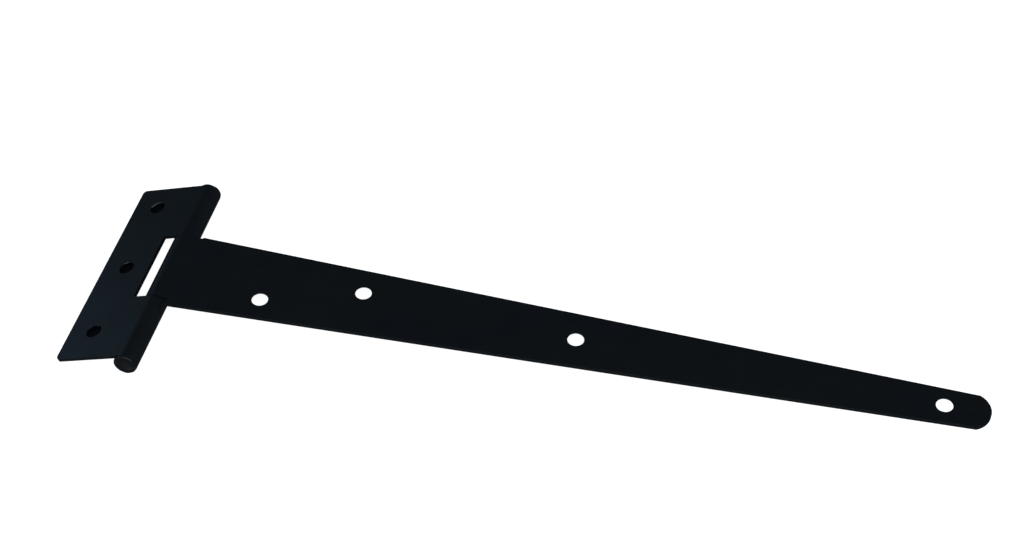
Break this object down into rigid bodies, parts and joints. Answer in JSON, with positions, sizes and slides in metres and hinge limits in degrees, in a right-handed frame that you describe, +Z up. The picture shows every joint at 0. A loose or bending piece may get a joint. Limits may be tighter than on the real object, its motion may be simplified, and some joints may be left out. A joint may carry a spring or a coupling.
{
  "type": "t hinge",
  "caption": "Sheet-steel T hinge: a long tapered strap and a short cross leaf, rolled round one peened pin, with countersunk screw holes.",
  "frame": {"origin": "middle of the footprint, on the surface that the hinge lies on, knuckles down", "axes": "+X along the strap towards its tip, +Y along the pin, +Z up, away from the surface"},
  "size_m": [0.3274, 0.0926, 0.0099],
  "materials": {
    "leaf_finish": "satin black baked enamel on sheet steel",
    "strap_finish": "satin black baked enamel on sheet steel",
    "pin_finish": "satin black baked enamel on steel wire"
  },
  "bodies": {
    "cross_leaf": {"cross_leaf": "leaf_finish", "hinge_pin": "pin_finish"},
    "strap": {"strap": "strap_finish"}
  },
  "joints": [
    {"name": "strap_swing", "type": "hinge", "parent": "cross_leaf", "child": "strap", "pos_m": [-0.13627, 0, 0.00554], "axis": [0, 1, 0], "range_deg": [-122, 171]}
  ]
}
